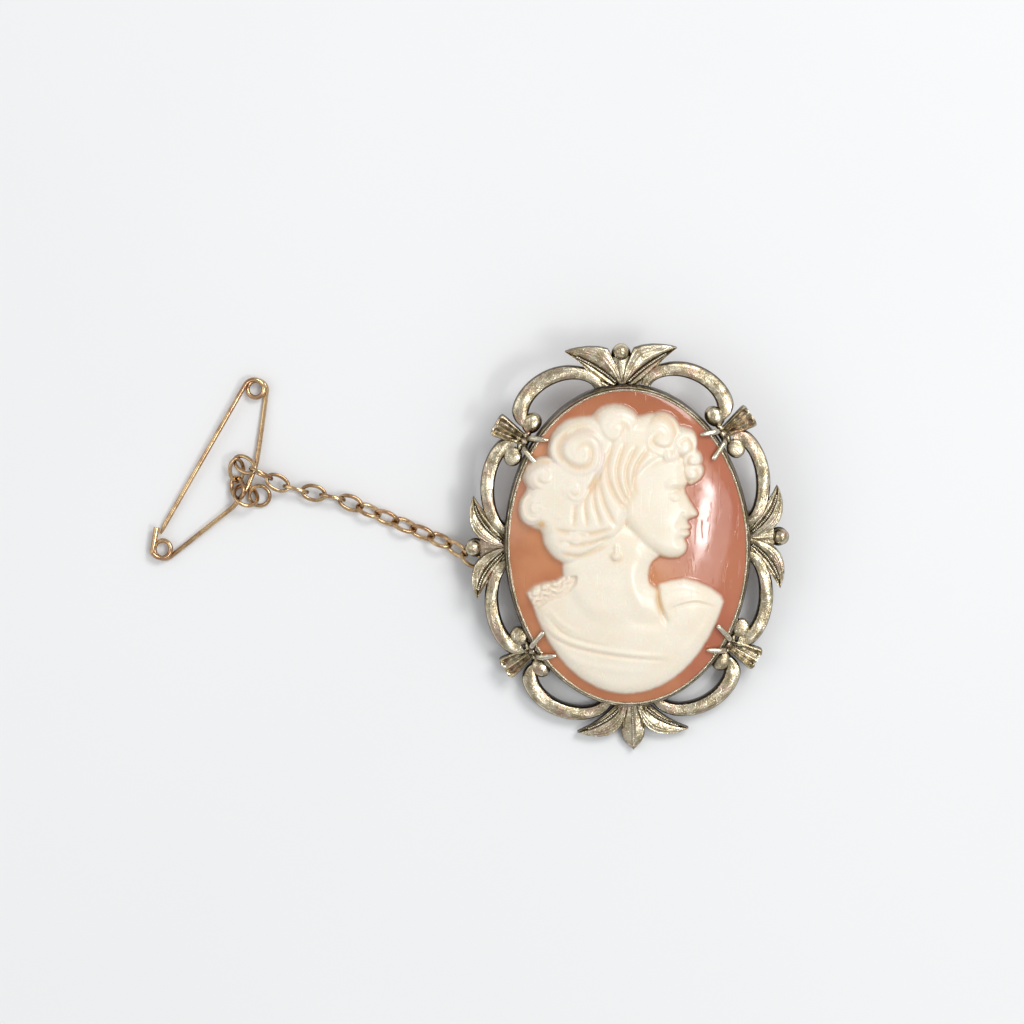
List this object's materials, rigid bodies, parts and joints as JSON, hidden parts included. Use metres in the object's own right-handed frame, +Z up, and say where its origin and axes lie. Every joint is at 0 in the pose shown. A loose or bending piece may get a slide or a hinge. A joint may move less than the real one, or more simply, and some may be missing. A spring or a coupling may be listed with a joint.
{
  "type": "cameo brooch with safety chain",
  "caption": "Oval carved shell cameo in a pierced silver scrollwork setting with leaf sprays and bows, with a back pin and a fine safety chain ending in a small safety pin.",
  "frame": {"origin": "middle of the footprint on the surface that the brooch, chain and safety pin lie on", "axes": "+X along the longest extent, from the safety pin towards the brooch; +Z up, away from the surface; +Y towards the top of the cameo"},
  "size_m": [0.0809, 0.0515, 0.0122],
  "materials": {
    "silver": "worn silver with a warm tarnish in the recesses",
    "shell": "carved two-layer shell, polished",
    "gold": "polished yellow metal wire, darkened between the links"
  },
  "bodies": {
    "root": {"frame": "silver", "cameo": "shell", "back_pin": "silver", "link_01": "gold", "link_02": "gold", "link_03": "gold", "link_04": "gold", "link_05": "gold", "link_06": "gold", "link_07": "gold", "link_08": "gold", "link_09": "gold", "link_10": "gold", "link_11": "gold", "link_12": "gold", "link_13": "gold", "link_14": "gold", "link_15": "gold", "link_16": "gold", "jump_ring_a": "gold", "jump_ring_b": "gold", "safety_pin": "gold"}
  },
  "joints": []
}
